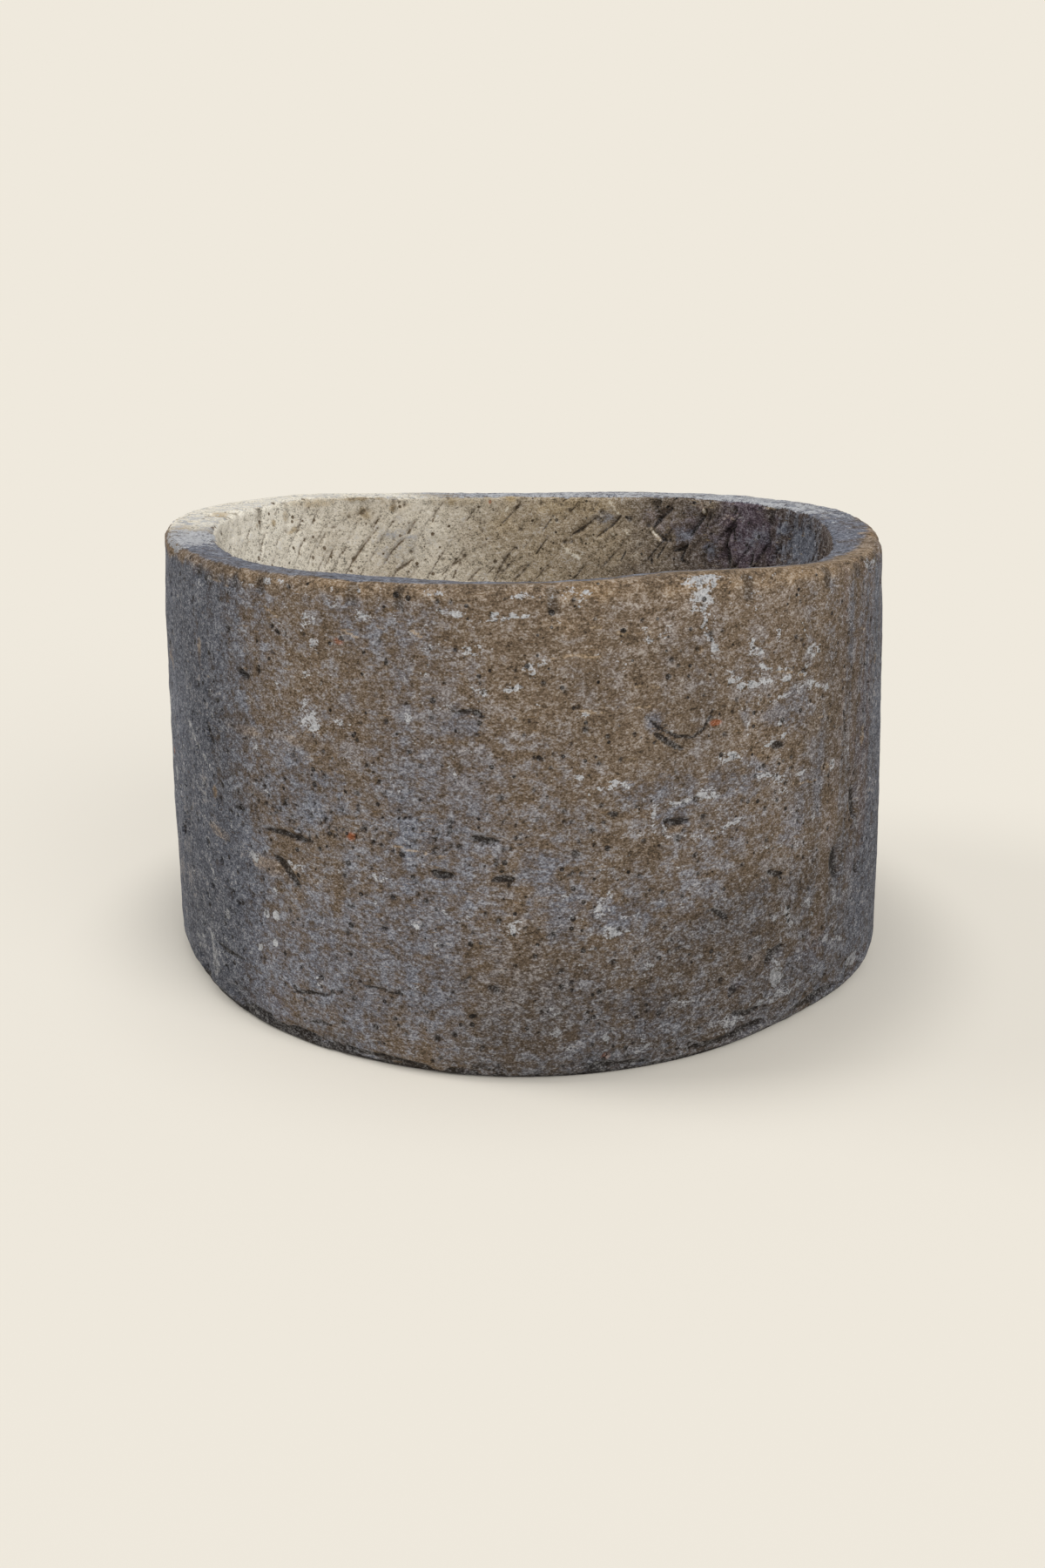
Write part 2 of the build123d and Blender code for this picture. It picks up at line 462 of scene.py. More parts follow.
# Runs of lime, clear ones and then faint ones: (azimuth, height) points and half width in mm
LIME_STROKES = [
    ([(7.8, 207), (9.2, 211.6), (12.2, 213.4), (13.2, 210)], 3.8),
    ([(17, 197), (17, 176), (19, 173.6), (22.4, 172)], 2.2), ([(17, 197), (21, 196), (25, 200)], 2.4),
    ([(39.6, 103), (41.2, 93), (42.6, 81)], 2.4), ([(40.4, 104), (42.4, 90), (43.2, 80)], 1.8),
    ([(51.6, 62), (54, 56), (58, 48)], 3.0), ([(50.4, 60), (52, 58)], 3.4),
    ([(10.4, 109.6), (13, 110), (16.4, 108)], 1.6), ([(32.6, 283), (35, 277), (40, 276)], 2.4),
    ([(31, 271), (34, 269), (36, 270)], 2.6), ([(33.6, 222), (36.4, 227), (38.6, 230)], 2.2),
    ([(-57.6, 118), (-54.6, 104), (-53, 100)], 2.4),
]
LIME_VEINS = [
    ([(23.2, 338), (23.4, 322), (25, 298), (26.8, 285), (28.6, 274), (31.4, 268), (35, 271)], 5.2),
    ([(21.4, 342), (23.6, 331), (24.6, 318)], 6.5),
    ([(36, 268), (40, 271), (43.6, 279), (44.6, 288)], 4.0),
    ([(37, 258), (41, 262), (45, 260), (48, 255)], 5.0), ([(-66, 222), (-60, 205), (-54, 190)], 4.0),
    ([(22, 170), (27, 172), (31, 178)], 3.4), ([(33, 205), (38, 200), (43, 199)], 4.0),
    ([(44, 110), (46.4, 96), (47.6, 84)], 3.4), ([(-12, 326), (-6, 322), (0, 324)], 4.0),
    ([(34, 33), (39, 30), (45, 34), (50, 40)], 5.0), ([(-58, 60), (-57, 44), (-55, 30)], 5.0),
]

# Painted shade low on the foot of the wall, by azimuth
LOW_SHADE_ANGLES = (-180, -120, -60, -30, -14, -3, 3, 10, 14, 20, 27, 40, 60, 110, 180)
LOW_SHADE = (0.3, 0.3, 0.12, 0.12, 0.25, 0.75, 0.8, 0.55, 0.5, 0.8, 1.4, 1.4, 1.0, 0.4, 0.3)

# Random stains of the sides and back: their share of the number, and half size in mm
HIDDEN_KINDS = {"lime": (0.66, 7), "ochre": (0.12, 8), "plum": (0.16, 34), "rust": (0.06, 4)}


def stain_outer_wall():
    """Patina, lime, ochre, rust and plum stains and painted shade, on the front and then on the sides
    and back.
    """
    left_end = smooth(-124, -84, azimuth)
    right_end = smooth(116, 78, azimuth)
    # The left and right side strips are made bluer, more plum and darker: stain, and partly painted
    # shade
    left = smooth(-38, -64, azimuth) * left_end
    right = smooth(34, 62, azimuth) * right_end
    low = smooth(170, 30, height)
    drips = rough(places * np.array([1, 1, 0.07]), 10, 66) * (0.3 + left + right)
    sunny = smooth(170, 250, height) * smooth(-22, 0, azimuth) * smooth(78, 50, azimuth)
    left_front = smooth(-34, -54, azimuth) * left_end
    bluish = 0.38 + 0.3 * rough(places, 70, 61) + 0.45 * left + 0.35 * left_front
    bluish += 0.16 * low + 0.42 * drips
    bluish += 0.35 * smooth(54, 68, azimuth) * right_end - 0.17 * sunny
    stain["patina"][on_outer] = bluish[on_outer]
    stain["lime"][on_outer] = (0.16 + 0.34 * rough(places, 48, 62) + 0.3 * drips)[on_outer]
    stain["ochre"][on_outer] = (0.1 + 0.3 * rough(places, 80, 63) + 0.08 * sunny)[on_outer]
    stain["plum"][on_outer] = (0.4 * left + 0.4 * right - 0.3 * drips)[on_outer]
    # Painted shade and stain: painted shade on the left and right sides, low on the foot and over the
    # right of the front, with random blotches
    right_front = smooth(-12, 20, azimuth) * smooth(170, 110, azimuth) * smooth(350, 270, height)
    low_painted_shade = np.interp(azimuth, LOW_SHADE_ANGLES, LOW_SHADE) * low
    left_painted_shade = 0.7 * smooth(-36, -52, azimuth) * (1 - 0.4 * smooth(-60, -74, azimuth)) * left_end
    painted_shade_and_stain = left_painted_shade + 0.4 * right + low_painted_shade + 0.36 * right_front + 0.25 * blotch
    stain["painted_shade_and_stain"][on_outer] = np.clip(painted_shade_and_stain, 0, 1)[on_outer]
    for name, patches in OUTER_PATCHES.items():
        for a, h, half_width, half_height, strength in patches:
            patch(outer_wall, name, (a, h), (half_width, half_height), strength)
    for a, h, size in WHITE_DOTS:
        patch(outer_wall, "lime", (a, h), (size, size), 1.6, ragged=0.12, core=0.7)
    for path, width in LIME_STROKES:
        streak(outer_wall, "lime", path, width, 1.0, broken=0.6)
    for path, width in LIME_VEINS:
        streak(outer_wall, "lime", path, width, 0.84, broken=0.6)
    for _ in range(LIME_SPECKS):
        place = (rng.uniform(-76, 76), rng.uniform(14, 338))
        size = rng.uniform(2.2, 4.6) * rng.uniform(0.7, 1.6, 2)
        patch(outer_wall, "lime", place, size, rng.uniform(0.4, 0.8))
    kinds = list(HIDDEN_KINDS)
    shares = [share for share, _ in HIDDEN_KINDS.values()]
    for _ in range(HIDDEN_STAINS):
        side = hidden_azimuth()
        name = kinds[rng.choice(len(kinds), p=shares)]
        size = HIDDEN_KINDS[name][1] * rng.uniform(0.6, 1.7, 2)
        patch(outer_wall, name, (side, rng.uniform(15, 340)), size, rng.uniform(0.4, 0.9))


# Cavity: chisel facets in slanting rows, with bolder furrows across them

# Each furrow: (azimuth, height) points, half width and depth in mm
BOLD_FURROWS = [
    ([(214, 313), (218, 295), (222, 276)], 3.6, 2.2), ([(213.6, 322), (215.4, 312)], 3.0, 1.6),
    ([(208, 300), (211, 290), (213.4, 277)], 3.2, 1.9),
    ([(206, 281), (208.6, 274), (211, 269)], 3.2, 1.9),
    ([(205.2, 317), (206.4, 309), (207.4, 304)], 4.0, 1.9),
    ([(193.6, 282), (197, 273), (200, 263)], 3.0, 1.6),
    ([(183, 287), (185, 277), (187.6, 257)], 4.0, 2.4),
    ([(179.4, 272), (181.4, 263), (183.4, 255)], 4.6, 2.6),
    ([(225, 301), (226.6, 291), (228.4, 281)], 2.8, 1.3), ([(227.2, 313), (230, 300)], 2.6, 1.2),
    ([(233.6, 326), (236, 314)], 2.2, 0.9), ([(195, 277), (197.4, 259)], 2.6, 1.4),
    ([(190.6, 269), (194, 256)], 2.6, 1.3), ([(187.6, 270), (190.4, 256)], 2.6, 1.3),
    ([(222.2, 297), (223.6, 291)], 3.0, 1.1), ([(200.4, 324), (201.6, 313)], 2.4, 0.8),
    ([(191.6, 326), (193.6, 314)], 2.4, 0.7), ([(181, 330), (183.4, 322)], 2.6, 0.9),
    ([(175, 299), (176.6, 290), (178, 280)], 2.8, 1.4), ([(174.4, 316), (176.6, 303)], 2.6, 1.0),
    ([(164, 319), (166.6, 310), (170, 300)], 4.2, 2.6),
    ([(170, 300), (169.6, 294), (171.6, 294)], 2.8, 1.4),
    ([(158.6, 321), (160.6, 311), (164, 300)], 4.0, 2.4),
    ([(146.6, 331), (149.4, 321), (151, 311)], 5.2, 3.0),
    ([(151, 310), (149, 304), (147.4, 299)], 4.0, 2.0),
    ([(146.6, 302), (148.4, 292), (149.6, 282)], 3.6, 1.8),
    ([(138.2, 330), (140, 319), (142, 306)], 5.0, 2.8),
    ([(137, 330), (137.8, 318), (138.4, 310)], 3.4, 1.6), ([(130.4, 336), (131, 330)], 4.0, 1.6),
    ([(130, 322), (132, 314), (132.6, 300)], 4.2, 2.2),
    ([(132.6, 302), (131.8, 292), (131, 281)], 5.6, 3.2),
    ([(142, 299), (143.4, 294), (145.6, 291)], 4.4, 2.4),
    ([(137, 299), (138, 288), (137.4, 280)], 4.0, 1.8),
    ([(143, 293), (143.6, 284), (142, 279)], 4.6, 2.2), ([(170.6, 338), (172, 333)], 3.0, 1.6),
    ([(157, 288), (158.2, 276)], 3.0, 1.2), ([(151, 282), (150.6, 276)], 4.0, 1.6),
    ([(155, 271), (156, 268)], 3.6, 1.4), ([(131, 316), (130, 306)], 3.6, 1.4),
    ([(124.6, 300), (125.4, 284)], 4.4, 1.6), ([(121, 330), (119.6, 296)], 2.8, 1.8),
    ([(117.4, 332), (116, 298)], 2.6, 1.6), ([(113.4, 334), (112, 300)], 2.8, 1.6),
    ([(109, 334), (108.4, 302)], 2.6, 1.4), ([(105, 336), (104.6, 306)], 2.4, 1.2),
    ([(100, 334), (99.6, 308)], 2.6, 1.3), ([(216, 330), (217.6, 327), (219.4, 326)], 3.2, 2.2),
    ([(224, 318), (226, 316)], 2.4, 1.2), ([(233, 310), (235, 304), (236, 296)], 2.8, 1.4),
    ([(241, 318), (243, 308)], 2.6, 1.4), ([(246, 322), (248, 312), (249, 304)], 2.8, 1.4),
    ([(252, 328), (254, 320)], 2.8, 1.6),
]

# Each ridge: (azimuth, height) points and half width in mm
PALE_RIDGES = [
    ([(161.4, 334), (160, 326), (158.8, 321)], 2.6), ([(172, 291), (170, 284), (167.6, 278)], 2.2),
    ([(157.4, 307), (156.4, 303)], 1.6), ([(161, 306), (160, 302)], 1.6),
    ([(151.4, 310), (148.8, 300)], 2.4), ([(139, 333), (138.6, 327)], 2.4),
    ([(185, 322), (183.6, 330)], 2.0),
]

# Each hollow dot: azimuth, height, radius and depth in mm
CAVITY_HOLLOWS = [
    (207.6, 332, 3.4, 2.4), (208.8, 335, 2.6, 1.8), (221, 325, 3.4, 1.8), (231.4, 337, 2.2, 1.6),
    (229.4, 333, 2.2, 1.4), (231.2, 330, 2.0, 1.4), (230.4, 323, 2.2, 1.4), (239, 319.6, 3.0, 1.2),
    (176.8, 330, 2.4, 2.0), (181.4, 306, 3.6, 1.4), (194.2, 281, 3.2, 1.6), (206.6, 287.6, 3.2, 1.6),
    (182.6, 288, 3.0, 1.4), (184.2, 270, 3.4, 1.2), (198, 298, 2.0, 1.2), (186, 267, 2.6, 1.4),
    (174, 319, 2.6, 1.2), (156.4, 318, 5.0, 1.6), (163, 324, 5.0, 1.4), (167.4, 306, 2.8, 1.4),
    (152, 313, 4.2, 2.0), (126.6, 304.6, 3.0, 1.4), (122.4, 325, 3.0, 1.2), (171.4, 294, 3.6, 1.6),
]

# Each stain: kind, azimuth, height, half width, half height, strength and tilt in degrees
CAVITY_STAINS = [
    ("ochre", 217.4, 327, 7, 4, 0.8, 60), ("painted_shade_and_stain", 217.4, 327, 5, 3, 0.7, 60),
    ("ochre", 210.6, 329, 3.4, 4, 0.9, 0), ("painted_shade_and_stain", 210.6, 328, 2, 4, 0.6, 0),
    ("ochre", 243, 329, 4, 3, 1.0, 0), ("ochre", 249, 330, 3, 3, 1.0, 0),
    ("ochre", 228, 340, 24, 5, 0.6, 0), ("ochre", 237.6, 318.6, 9, 2.6, 0.8, -15),
    ("ochre", 234, 343, 34, 6, 0.5, 0), ("ochre", 183.6, 336, 5, 5, 0.8, 0),
    ("ochre", 197, 334, 3.4, 4, 0.8, 0), ("rust", 188.2, 332.6, 2, 2.6, 0.7, 0),
    ("ochre", 192, 334, 50, 9, 0.5, 0), ("ochre", 217, 342, 30, 3.4, 0.9, 0),
    ("painted_shade_and_stain", 217, 340, 26, 5, 0.6, 0), ("painted_shade_and_stain", 196, 336, 40, 7, 0.4, 0),
    ("ochre", 238.6, 334, 6, 7, 0.6, 0), ("ochre", 209, 334, 22, 9, 0.4, 0),
    ("ochre", 186, 312, 18, 13, 0.45, 0), ("ochre", 170, 328, 44, 14, 0.5, 0),
    ("ochre", 160, 296, 44, 30, 0.28, 0), ("ochre", 158, 282, 50, 16, 0.32, 0),
    ("ochre", 137, 336, 14, 7, 0.4, 0), ("ochre", 121, 342, 8, 5, 0.8, 0),
    # The plum on the right of the cavity, about 127 to 150 degrees, is stain and partly painted shade
    ("ochre", 132, 326, 9, 6, 0.4, 0), ("plum", 127, 318, 44, 40, 1.0, 0),
    ("plum", 143, 312, 30, 16, 0.6, 0), ("plum", 150, 322, 24, 12, 0.5, 0),
    ("ochre", 219, 324, 30, 10, 0.4, 0), ("painted_shade_and_stain", 219, 325, 30, 12, 0.25, 0),
    ("patina", 106, 316, 50, 26, 0.85, 0), ("patina", 124, 312, 24, 12, 0.45, 0),
    ("patina", 143, 308, 16, 9, 0.5, 0), ("patina", 162, 318, 11, 6, 0.6, 0),
    ("patina", 209, 297, 30, 20, 0.35, 0), ("patina", 136, 296, 8, 9, 0.6, 0),
]

# How pale the inside is, by azimuth and by height: the stone's own pale colour, with painted light on
# the back and left of the cavity, painted shade on its right, and darker towards the bottom
CREAM_AND_LIGHT_ANGLES = (0, 60, 112, 128, 150, 172, 186, 200, 215, 224, 240, 252, 262, 300, 360)
CREAM_AND_LIGHT_ROUND = (0.3, 0.16, 0.1, 0.12, 0.3, 0.48, 0.57, 0.76, 0.68, 0.74, 0.88, 1.0, 1.0, 0.6, 0.3)
CREAM_AND_LIGHT_HEIGHTS_MM = (60, 160, 250, 345)
CREAM_AND_LIGHT_UP = (0.55, 0.7, 0.95, 1.0)

# Chisel facets: how many go round the cavity, how high they are and how far they lean, as a share
FACETS_ROUND = 83
FACET_HEIGHT_MM = 46
FACET_LEAN = 0.78


def clothe_cavity():
    """How far each vertex is inside, and how pale the inside is there, which is pale stone with painted
    light and shade.
    """
    cream_and_painted_light = np.interp(azimuth % 360, CREAM_AND_LIGHT_ANGLES, CREAM_AND_LIGHT_ROUND)
    cream_and_painted_light = cream_and_painted_light * np.interp(height, CREAM_AND_LIGHT_HEIGHTS_MM, CREAM_AND_LIGHT_UP)
    stain["inside"][:] = on_inner | on_floor
    inside = stain["inside"] > 0
    stain["pale"][inside] = np.clip(cream_and_painted_light + 0.08 * blotch, 0, 1)[inside]


def facets(lean, seed):
    """Depth in mm and dirt of slanting chisel facets, each a little ramp that ends in a step."""
    turn = azimuth % 360
    pitch = 360 / FACETS_ROUND
    wander = 2.6 * noise(places, 42, seed) + 0.9 * noise(places, 13, seed + 1)
    place = (turn + (lean * height + wander) / INNER_MM_PER_DEGREE) / pitch
    cell = np.floor(place).astype(np.int64)
    ramp = place - cell
    column = np.column_stack((cell % FACETS_ROUND, np.zeros_like(cell), np.zeros_like(cell)))
    level = height / FACET_HEIGHT_MM + 5 * lattice(column, seed + 2)
    column[:, 1] = np.floor(level)
    strength = lattice(column, seed + 3) ** 1.6
    end = level - np.floor(level)
    ends = smooth(0, 0.2, end) * smooth(1, 0.8, end)
    depth = (0.4 + 2.3 * strength) * ramp**1.6 * (0.25 + 0.75 * ends)
    dirt = smooth(0.86, 0.96, ramp) * smooth(0.1, 0.6, strength) * ends * smooth(-0.5, 0.2, flake)
    return depth, dirt


def furrow_cavity():
    """Chisel facets all over the cavity's wall, then its bold furrows, hollows and stains."""
    swell = 1.2 * noise(places, 60, 41) + 0.6 * rough(places, 14, 42) + 0.3 * grain + 0.3 * flake
    main_depth, main_dirt = facets(FACET_LEAN, 71)
    cross_depth, cross_dirt = facets(-FACET_LEAN, 81)
    crossed = smooth(0.0, 0.35, noise(places, 75, 43) + 0.25 * smooth(200, 170, azimuth % 360))
    share = (1 - smooth(325, 342, height)) * smooth(90, 112, height)
    facet_depth = (main_depth + 0.7 * crossed * cross_depth) * share
    facet_dirt = np.maximum(main_dirt, 0.7 * crossed * cross_dirt) * share
    sunk[on_inner] += (swell + facet_depth)[on_inner] + 0.5
    stain["hollow"][on_inner] = (0.95 * facet_dirt)[on_inner]
    sunk[on_floor] += (1.6 * noise(places, 34, 44) + rough(places, 12, 45))[on_floor] + 1
    for path, width, depth in BOLD_FURROWS:
        carve(inner_wall, path, 0.9 * width, 1.2 * depth, dirt=1.2, broken=0.6, clean=0.4)
    for path, width in PALE_RIDGES:
        carve(inner_wall, path, width, -0.9, dirt=0)
        streak(inner_wall, "pale", path, width, 0.9)
    for a, h, size, depth in CAVITY_HOLLOWS:
        pit(inner_wall, (a * INNER_MM_PER_DEGREE, h), 0.85 * size, depth, 0.8)
    for name, a, h, half_width, half_height, strength, tilt in CAVITY_STAINS:
        patch(inner_wall, name, (a, h), (half_width, half_height), strength, tilt=tilt)
    for _ in range(CAVITY_PITS):
        a = rng.uniform(0, 360)
        size = rng.uniform(1.2, 2.2)
        pit(inner_wall, (a * INNER_MM_PER_DEGREE, rng.uniform(90, 342)), size, size * 0.6, 0.8)


# Rim: worn arrises with chips, and tan stone where the wear has gone through the grey skin

# Each chip: azimuth, radius from the middle, size and depth in mm
RIM_CHIPS = [
    (-40, 279, 9, 2.2), (-46, 278, 7, 1.8), (-24, 277, 8, 1.8), (-57, 280, 9, 2.2), (-17, 279, 6, 1.6),
    (3, 281, 7, 1.4), (31, 277, 8, 1.6), (47, 278, 9, 1.8), (58, 279, 12, 3.0), (64, 279, 10, 2.6),
    (71, 279, 14, 3.2), (82, 281, 12, 2.4), (-71, 285, 8, 1.8), (-80, 290, 10, 2.0), (-96, 295, 9, 2.4),
    (-104, 256, 9, 2.6), (-113, 254, 8, 2.4), (-99, 258, 12, 3.0), (-122, 256, 7, 1.8),
    (112, 254, 9, 2.6), (104, 250, 8, 2.2), (120, 254, 9, 2.0), (95, 246, 9, 2.2), (-60, 244, 6, 1.6),
    (140, 291, 9, 2.0), (166, 287, 8, 1.8), (-168, 287, 9, 2.2), (-140, 293, 8, 2.0),
    (-128, 296, 10, 2.6), (126, 293, 9, 2.4), (12, 246, 5, 1.2), (-10, 246, 5, 1.2), (38, 247, 6, 1.4),
    (150, 250, 7, 1.6), (-150, 252, 7, 1.8),
]

# How far the tan of the worn outer arris reaches in over the rim, round the stone
WORN_ANGLES = (-180, -110, -90, -50, -12, 8, 30, 55, 72, 88, 110, 180)
WORN_WIDTHS_MM = (7, 5, 6, 6, 9, 19, 24, 25, 18, 9, 6, 7)

# Stains of the rim: kind, azimuth, radius, half length, half width and strength
RIM_STAINS = [
    # The lime of the rim's left, from -75 to -112 degrees, is partly painted light
    ("lime", -92, 272, 60, 40, 0.65), ("lime", -112, 275, 60, 30, 0.5), ("lime", -75, 270, 40, 26, 1.0),
    ("ochre", -100, 262, 16, 10, 0.7), ("ochre", -84, 270, 14, 9, 0.5),
    ("ochre", -72, 284, 22, 10, 0.9), ("ochre", -58, 282, 26, 8, 0.8), ("ochre", 82, 276, 16, 12, 0.9),
    ("ochre", 68, 272, 26, 12, 0.6), ("ochre", 55, 270, 30, 12, 0.6), ("ochre", 42, 270, 26, 10, 0.5),
    ("plum", 86, 258, 40, 20, 0.7), ("plum", 100, 264, 30, 12, 0.5), ("lime", 128, 278, 90, 16, 0.5),
    ("ochre", 98, 280, 16, 9, 0.6),
]

# Steps round the stone at which the outer arris is measured
ARRIS_STEPS = 72


def outer_arris():
    """Angles round the stone and the solid's largest radius near its top at each."""
    angles = np.arange(ARRIS_STEPS) * 360 / ARRIS_STEPS
    radii = np.empty(ARRIS_STEPS)
    for step, angle in enumerate(angles):
        turned = np.abs((azimuth - angle + 180) % 360 - 180) < 180 / ARRIS_STEPS
        radii[step] = radius[turned & (height > 330)].max()
    return np.append(angles, 360), np.append(radii, radii[0])


def wear_rim():
    """A rough top, chips on both arrises, the tan band along the worn outer arris, and a paler top at
    the left that is pale stone and partly painted light.
    """
    swell = 0.7 * noise(places, 52, 51) + 0.4 * rough(places, 13, 52) + 0.25 * grain
    sunk[on_rim] += (swell + 0.4)[on_rim]
    for a, r, size, depth in RIM_CHIPS:
        turn = math.radians(a)
        away = np.hypot(rightward - r * math.sin(turn), backward + r * math.cos(turn)) / size
        share = np.where(height > 325, np.clip(1.2 - away + 0.3 * grain, 0, 1), 0)
        sunk[:] += depth * share
        add_stain("hollow", 0.55 * smooth(0.3, 0.9, share))
    inset = radius - np.interp(azimuth % 360, *outer_arris())
    reach = np.interp(azimuth, WORN_ANGLES, WORN_WIDTHS_MM)
    edge = smooth(-1.25, -0.75, inset / reach + 0.35 * grain)
    worn = edge * smooth(324, 338, height + 6 * grain)
    skin = on_rim & (upward > 0.8)
    stain["patina"][:] = np.where(skin, 0.8 + 0.3 * blotch, stain["patina"])
    back = smooth(85, 120, np.abs(azimuth))
    # Paler top at the rim's left: pale stone, and partly painted light
    pale_rim_and_painted_light = skin * smooth(-66, -90, azimuth) * smooth(-179, -150, azimuth)
    stain["lime"][:] = np.where(skin, 0.12 + 0.3 * grain + 0.75 * back - 0.4 * pale_rim_and_painted_light, stain["lime"])
    stain["patina"][:] *= 1 - 0.7 * pale_rim_and_painted_light
    add_stain("inside", pale_rim_and_painted_light)
    add_stain("pale", 0.95 * pale_rim_and_painted_light)
    stain["patina"][:] *= 1 - 0.85 * worn
    add_stain("ochre", (0.5 + 0.4 * blotch) * worn)
    for name, a, r, half_along, half_across, strength in RIM_STAINS:
        centre = (a * RIM_MM_PER_DEGREE, r)
        index, share = patch_share(rim_top, centre, (half_along, half_across), 0.7, core=0.2)
        add_stain(name, strength * share, index)


# Foot: the lower arris is knocked about, with flakes gone from it

# Each flake: azimuth, height, half width, half height and depth in mm
FOOT_FLAKES = [
    (-46, 16, 26, 10, 2.6), (-30, 12, 34, 9, 3.4), (-8, 10, 22, 7, 2.4), (9, 12, 20, 8, 2.6),
    (22, 14, 18, 8, 2.4), (36, 16, 24, 9, 3.0), (50, 16, 20, 8, 2.6), (62, 18, 22, 10, 3.0),
    (-62, 20, 20, 10, 2.6), (88, 14, 30, 9, 2.6), (120, 14, 26, 9, 2.8), (158, 14, 30, 9, 2.6),
    (-160, 14, 26, 9, 2.8), (-125, 14, 28, 9, 2.6), (-92, 16, 26, 9, 2.4),
]


def flake_foot():
    """Shallow flakes off the lower arris, dark low down with dirt and painted shade, and painted shade
    on the rolled-in underside of the foot.
    """
    for a, h, half_width, half_height, depth in FOOT_FLAKES:
        centre = (a * OUTER_MM_PER_DEGREE, h)
        index, share = patch_share(outer_wall, centre, (half_width, half_height), 0.7)
        sunk[index] += depth * share
        # Dark in each flake low on the foot: dirt, and painted shade where the foot turns in
        dirt = 0.75 * smooth(0.3, 0.9, share) * smooth(-0.25, 0.2, flake[index])
        add_stain("hollow", dirt * smooth(20, 8, height[index]), index)
    # Painted shade on the underside of the foot, reaching higher at the left of the front
    reach = 4 + 7 * smooth(-18, -42, azimuth) * smooth(-130, -85, azimuth)
    painted_underside_shade = smooth(1.1, 0.9, (height + 3 * grain + 3 * blotch) / reach) * (radius > 200)
    add_stain("hollow", 0.95 * painted_underside_shade)


hew_outer_wall()
scar_outer_wall()
pit_outer_wall()
stain_outer_wall()
clothe_cavity()
furrow_cavity()
wear_rim()
flake_foot()

# The foot stays flat on the ground and the carved stone stays in the solid's box
moved = places - normals * sunk[:, None]
foot = height < FLAT_FOOT_MM
moved[foot] = places[foot]
moved = np.clip(moved * MM, cad_low, cad_high)
stone.data.vertices.foreach_set("co", moved.ravel())
smooth_faces = np.ones(len(stone.data.polygons), dtype=bool)
stone.data.polygons.foreach_set("use_smooth", smooth_faces)
for name, values in stain.items():
    layer = stone.data.attributes.new(name, "FLOAT", "POINT")
    layer.data.foreach_set("value", np.clip(values, 0, STAIN_TOP).astype(np.float32))
stone.data.update()


# Material: weathered limestone, coloured by fine grain and by the stains of each vertex


class Shader:
    """A node tree that is built by short calls, each giving back a socket."""

    def __init__(self, name):
        self.material = bpy.data.materials.new(name)
        self.material.use_nodes = True
        self.tree = self.material.node_tree
        self.tree.nodes.clear()

    def link(self, source, socket):
        """Plug a socket, or set a plain value."""
        if isinstance(source, bpy.types.NodeSocket):
            self.tree.links.new(source, socket)
        else:
            socket.default_value = source

    def node(self, kind, **sockets):
        """A node with its inputs plugged or set by name."""
        made = self.tree.nodes.new(kind)
        for name, source in sockets.items():
            self.link(source, made.inputs[name.replace("_", " ")])
        return made

    def math(self, operation, first, second=0.0):
        """An operation on two values."""
        made = self.tree.nodes.new("ShaderNodeMath")
        made.operation = operation
        self.link(first, made.inputs[0])
        self.link(second, made.inputs[1])
        return made.outputs[0]

    def noise(self, coords, size_mm, detail, roughness):
        """Grain about size_mm across."""
        made = self.node("ShaderNodeTexNoise", Vector=coords, Scale=1000 / size_mm)
        made.inputs["Detail"].default_value = detail
        made.inputs["Roughness"].default_value = roughness
        return made.outputs["Fac"]

    def attribute(self, name):
        """A stain of the vertices."""
        made = self.tree.nodes.new("ShaderNodeAttribute")
        made.attribute_name = name
        return made.outputs["Fac"]

    def window(self, value, low, high, top=1.0):
        """0 below low and top above high, eased between."""
        made = self.tree.nodes.new("ShaderNodeMapRange")
        made.interpolation_type = "SMOOTHSTEP"
        self.link(value, made.inputs["Value"])
        made.inputs["From Min"].default_value = low
        made.inputs["From Max"].default_value = high
        made.inputs["To Max"].default_value = top
        return made.outputs["Result"]

    def speckled(self, amount, speck, contrast, low, high, top=1.0):
        """A mask that breaks into specks where the stain is thin."""
        swing = self.math("MULTIPLY_ADD", speck, contrast)
        swing.node.inputs[2].default_value = -0.5 * contrast
        return self.window(self.math("ADD", amount, swing), low, high, top)

    def ramp(self, value, stops):
        """A colour that runs through stops of (place, sRGB colour)."""
        made = self.tree.nodes.new("ShaderNodeValToRGB")
        elements = made.color_ramp.elements
        while len(elements) < len(stops):
            elements.new(0.5)
        for element, (place, colour) in zip(elements, stops):
            element.position = place
            element.color = linear(colour)
        self.link(value, made.inputs["Fac"])
        return made.outputs["Color"]

    def tones(self, value, colour, swing=1.0):
        """Dark to light versions of a colour as a grain value goes from low to high."""
        dark = [c * (1 - 0.55 * swing) for c in colour]
        light = [c + (255 - c) * 0.40 * swing for c in colour]
        return self.ramp(value, [(0.37, dark), (0.5, colour), (0.63, light)])

    def blend_values(self, *parts):
        """A weighted sum of sockets."""
        total = self.math("MULTIPLY", *parts[0])
        for socket, weight in parts[1:]:
            total = self.math("ADD", total, self.math("MULTIPLY", socket, weight))
        return total

    def mix(self, share, first, second):
        """The first colour at a share of 0 and the second at 1."""
        made = self.tree.nodes.new("ShaderNodeMix")
        made.data_type = "RGBA"
        self.link(share, made.inputs["Factor"])
        self.link(first, made.inputs["A"])
        self.link(second, made.inputs["B"])
        return made.outputs["Result"]


# Pitch of the small dark dots of the material
DOT_PITCH_MM = 7.5


